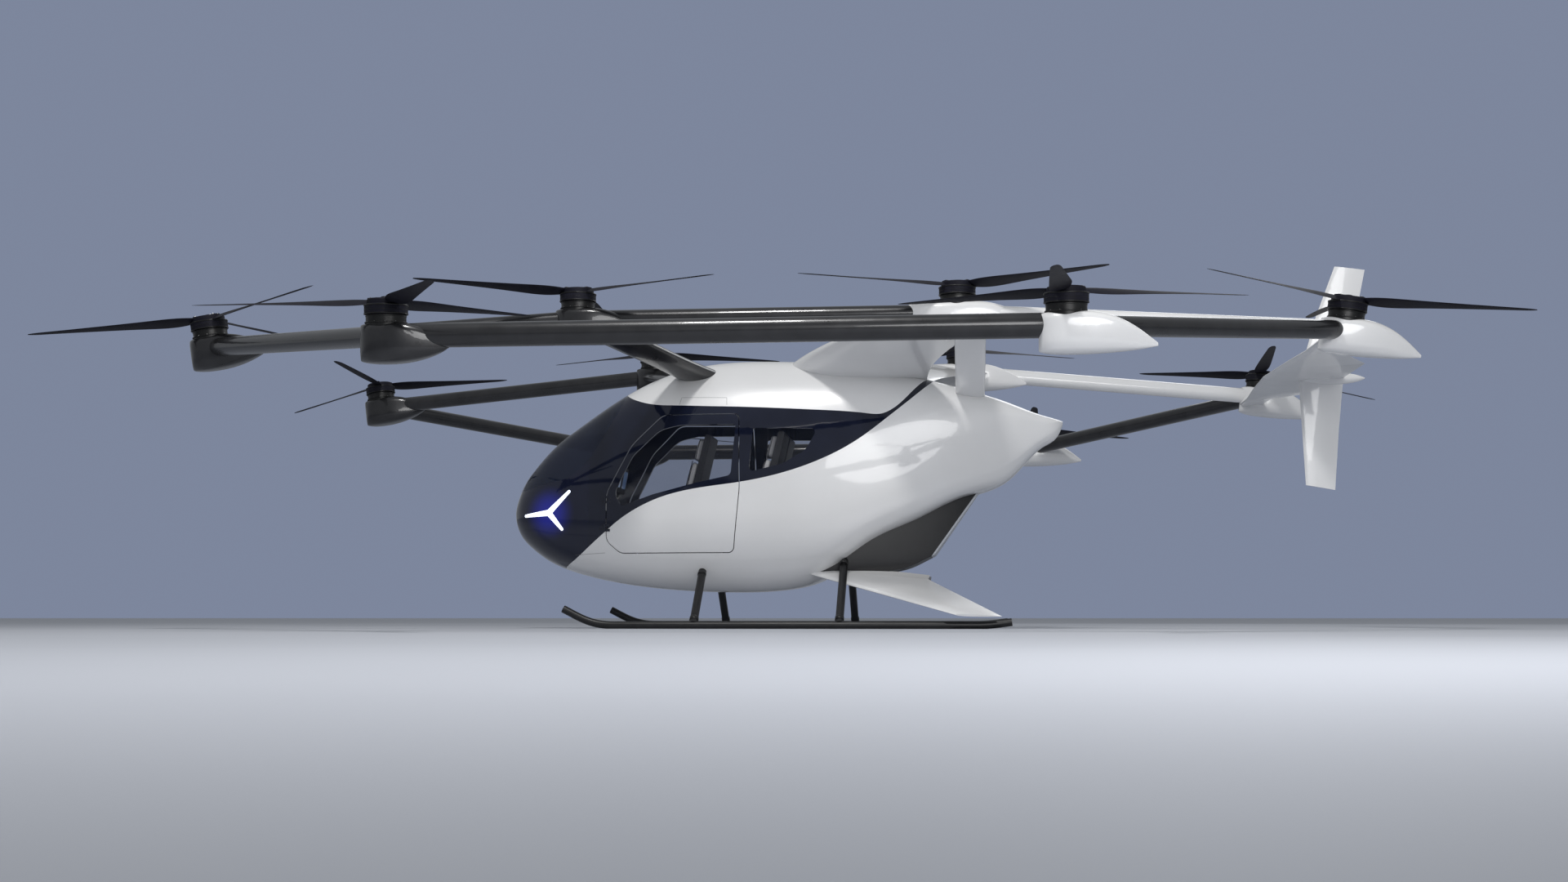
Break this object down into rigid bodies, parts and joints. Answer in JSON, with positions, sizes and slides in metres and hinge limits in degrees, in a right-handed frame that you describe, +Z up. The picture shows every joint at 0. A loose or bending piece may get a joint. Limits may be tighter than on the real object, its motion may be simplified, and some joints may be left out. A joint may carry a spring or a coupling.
{
  "type": "electric multirotor air taxi",
  "caption": "Multirotor electric air taxi with a three-seat cabin, hinged doors, boom-mounted rotors, tail surfaces and landing skids.",
  "frame": {"origin": "on the ground, on the centre plane, midway between the front and rear rotors", "axes": "+X out of the nose, +Y to port, +Z up"},
  "size_m": [12.5646, 12.2148, 3.477],
  "materials": {
    "white_paint": "gloss",
    "graphite": "satin",
    "black_gloss": "gloss",
    "glass": "gloss",
    "lamp": "gloss",
    "motor": "satin",
    "blades": "satin",
    "tail_black": "satin",
    "gear_black": "satin",
    "cabin_trim": "matte",
    "seat_shell": "satin",
    "seat_fabric": "matte"
  },
  "bodies": {
    "airframe": {"fuselage_body": "white_paint", "roof_cowl": "white_paint", "nose_visor": "black_gloss", "canopy_frame": "black_gloss", "windshield": "glass", "quarter_windows": "glass", "headlights": "lamp", "door_hinges": "black_gloss", "front_nacelles": "graphite", "rear_nacelles": "white_paint", "motor_bases": "motor", "perimeter_booms": "graphite", "inner_booms": "graphite", "rear_booms": "white_paint", "front_arms": "graphite", "rear_arms": "white_paint", "rear_struts": "white_paint", "tailplane": "white_paint", "tail_fin": "white_paint", "tail_panels": "tail_black", "lower_fins": "white_paint", "skids": "gear_black", "skid_legs": "gear_black", "cabin_floor": "cabin_trim", "pilot_seat": "seat_shell", "passenger_seats": "seat_shell", "seat_cushions": "seat_fabric", "instrument_console": "cabin_trim"},
    "door_left": {"door_panel_left": "white_paint", "door_frame_left": "black_gloss", "door_window_left": "glass"},
    "door_right": {"door_panel_right": "white_paint", "door_frame_right": "black_gloss", "door_window_right": "glass"},
    "rotor_front_left": {"rotor_front_left": "blades"},
    "rotor_front_right": {"rotor_front_right": "blades"},
    "rotor_outer_front_left": {"rotor_outer_front_left": "blades"},
    "rotor_outer_front_right": {"rotor_outer_front_right": "blades"},
    "rotor_inner_front_left": {"rotor_inner_front_left": "blades"},
    "rotor_inner_front_right": {"rotor_inner_front_right": "blades"},
    "rotor_inner_rear_left": {"rotor_inner_rear_left": "blades"},
    "rotor_inner_rear_right": {"rotor_inner_rear_right": "blades"},
    "rotor_outer_rear_left": {"rotor_outer_rear_left": "blades"},
    "rotor_outer_rear_right": {"rotor_outer_rear_right": "blades"},
    "rotor_rear_left": {"rotor_rear_left": "blades"},
    "rotor_rear_right": {"rotor_rear_right": "blades"}
  },
  "joints": [
    {"name": "door_left_hinge", "type": "hinge", "parent": "airframe", "child": "door_left", "pos_m": [1.706, 0.631, 1.095], "axis": [0, 0, -1], "range_deg": [0, 70]},
    {"name": "door_right_hinge", "type": "hinge", "parent": "airframe", "child": "door_right", "pos_m": [1.706, -0.631, 1.095], "axis": [0, 0, 1], "range_deg": [0, 70]},
    {"name": "rotor_front_left_spin", "type": "hinge", "parent": "airframe", "child": "rotor_front_left", "pos_m": [4.95, 2.4, 2.75], "axis": [0.139, 0.0523, 0.9889], "continuous": true},
    {"name": "rotor_front_right_spin", "type": "hinge", "parent": "airframe", "child": "rotor_front_right", "pos_m": [4.95, -2.4, 2.75], "axis": [0.139, -0.0523, 0.9889], "continuous": true},
    {"name": "rotor_outer_front_left_spin", "type": "hinge", "parent": "airframe", "child": "rotor_outer_front_left", "pos_m": [2.49, 4.95, 2.43], "axis": [0, 0.0698, 0.9976], "continuous": true},
    {"name": "rotor_outer_front_right_spin", "type": "hinge", "parent": "airframe", "child": "rotor_outer_front_right", "pos_m": [2.49, -4.95, 2.43], "axis": [0, -0.0698, 0.9976], "continuous": true},
    {"name": "rotor_inner_front_left_spin", "type": "hinge", "parent": "airframe", "child": "rotor_inner_front_left", "pos_m": [1.69, 2, 3.01], "axis": [0, 0, 1], "continuous": true},
    {"name": "rotor_inner_front_right_spin", "type": "hinge", "parent": "airframe", "child": "rotor_inner_front_right", "pos_m": [1.69, -2, 3.01], "axis": [0, 0, 1], "continuous": true},
    {"name": "rotor_inner_rear_left_spin", "type": "hinge", "parent": "airframe", "child": "rotor_inner_rear_left", "pos_m": [-1.69, 2, 3.01], "axis": [0, 0, 1], "continuous": true},
    {"name": "rotor_inner_rear_right_spin", "type": "hinge", "parent": "airframe", "child": "rotor_inner_rear_right", "pos_m": [-1.69, -2, 3.01], "axis": [0, 0, 1], "continuous": true},
    {"name": "rotor_outer_rear_left_spin", "type": "hinge", "parent": "airframe", "child": "rotor_outer_rear_left", "pos_m": [-2.49, 4.95, 2.43], "axis": [0, 0.0698, 0.9976], "continuous": true},
    {"name": "rotor_outer_rear_right_spin", "type": "hinge", "parent": "airframe", "child": "rotor_outer_rear_right", "pos_m": [-2.49, -4.95, 2.43], "axis": [0, -0.0698, 0.9976], "continuous": true},
    {"name": "rotor_rear_left_spin", "type": "hinge", "parent": "airframe", "child": "rotor_rear_left", "pos_m": [-4.95, 2.4, 2.75], "axis": [-0.139, 0.0523, 0.9889], "continuous": true},
    {"name": "rotor_rear_right_spin", "type": "hinge", "parent": "airframe", "child": "rotor_rear_right", "pos_m": [-4.95, -2.4, 2.75], "axis": [-0.139, -0.0523, 0.9889], "continuous": true}
  ]
}
